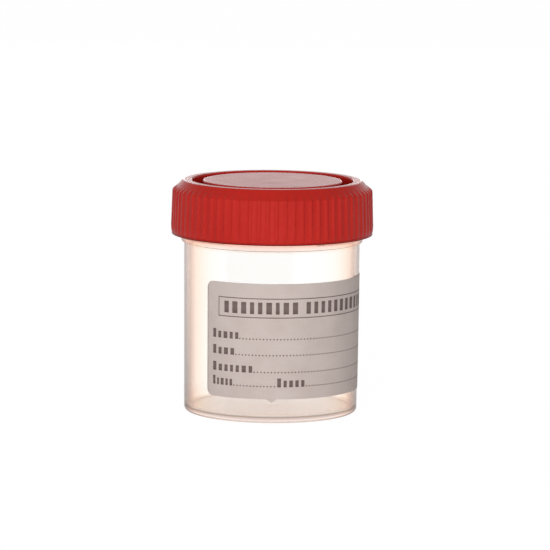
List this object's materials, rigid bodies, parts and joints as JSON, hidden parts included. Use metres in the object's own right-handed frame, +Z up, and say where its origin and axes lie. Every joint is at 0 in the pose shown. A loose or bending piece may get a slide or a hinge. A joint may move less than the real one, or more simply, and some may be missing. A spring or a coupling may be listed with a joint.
{
  "type": "specimen container",
  "caption": "Translucent screw-top specimen cup with a ribbed cap, plug seal, threaded neck, raised floor and a paper label wrapped part of the way round.",
  "frame": {"origin": "centre of the base on the standing surface", "axes": "+Z up the middle of the cup towards the cap, -Y out of the side that the label starts on"},
  "size_m": [0.0506, 0.0506, 0.058],
  "materials": {
    "cup_plastic": "translucent, slightly milky, smooth",
    "cap_plastic": "satin, opaque red",
    "label_paper": "matte uncoated paper with dark grey print"
  },
  "bodies": {
    "cup": {"container_cup": "cup_plastic", "paper_label": "label_paper"},
    "cap": {"screw_cap": "cap_plastic"}
  },
  "joints": [
    {"name": "cap_lift", "type": "slide", "parent": "cup", "child": "cap", "axis": [0, 0, 1], "range_m": [0, 0.04]}
  ]
}
